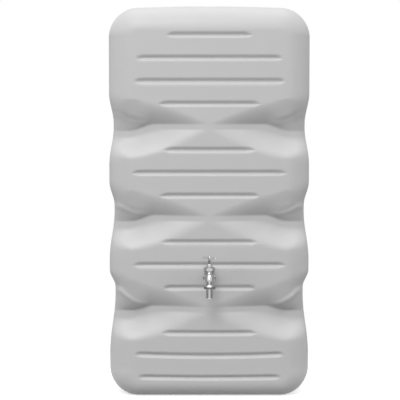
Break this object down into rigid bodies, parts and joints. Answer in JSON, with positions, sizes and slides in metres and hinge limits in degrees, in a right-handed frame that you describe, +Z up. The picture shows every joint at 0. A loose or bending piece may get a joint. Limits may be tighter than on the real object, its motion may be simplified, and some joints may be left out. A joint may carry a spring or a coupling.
{
  "type": "wall rain barrel",
  "caption": "Slim upright rain barrel with pinched waists, recessed ribs, a flush bayonet lid, wall brackets and a screw-down draw-off tap with a hose tail.",
  "frame": {"origin": "on the floor, at the middle of the tank's base", "axes": "+Z up, -Y the front with the tap, +X to the right as seen from the front"},
  "size_m": [0.784, 0.4335, 1.5258],
  "materials": {
    "tank": "light grey polyethylene, fine satin grain",
    "lid": "mid grey polyethylene, satin",
    "rubber": "matt black",
    "galvanised": "zinc plated",
    "brass": "machined",
    "plated": "nickel-chrome plated brass, polished",
    "fibre": "dark grey vulcanised fibre"
  },
  "bodies": {
    "tank": {"tank_shell": "tank", "wall_bracket_left": "galvanised", "wall_bracket_right": "galvanised", "bracket_inserts": "brass", "bracket_washers": "galvanised", "bracket_screws": "galvanised", "tap_body": "plated", "wall_rosette": "plated", "outer_gasket": "rubber", "inner_gasket": "rubber", "backnut": "brass", "bonnet_gasket": "fibre", "bonnet": "plated", "gland_packing": "fibre", "gland_nut": "plated", "hose_gasket": "rubber", "hose_nozzle": "plated", "union_nut": "plated"},
    "lid_seal": {"lid_gasket": "rubber"},
    "lid_cover": {"lid": "lid"},
    "valve": {"valve_jumper": "brass", "valve_washer": "rubber", "washer_nut": "brass"},
    "handle": {"spindle": "plated", "t_handle": "plated", "handle_screw": "plated"}
  },
  "joints": [
    {"name": "lid_lift", "type": "slide", "parent": "tank", "child": "lid_seal", "axis": [0, 0, 1], "range_m": [0, 0.15]},
    {"name": "lid_turn", "type": "hinge", "parent": "lid_seal", "child": "lid_cover", "pos_m": [0, 0, 1.512], "axis": [0, 0, 1], "range_deg": [-60, 0]},
    {"name": "valve_lift", "type": "slide", "parent": "tank", "child": "valve", "axis": [0, 0, 1], "range_m": [0, 0.0051]},
    {"name": "handle_turn", "type": "hinge", "parent": "valve", "child": "handle", "pos_m": [0, -0.212, 0.552], "axis": [0, 0, 1], "range_deg": [0, 720]}
  ],
  "couplings": [
    {"joint": "valve_lift", "follows": "handle_turn", "m_per_rad": 0.00039789}
  ]
}
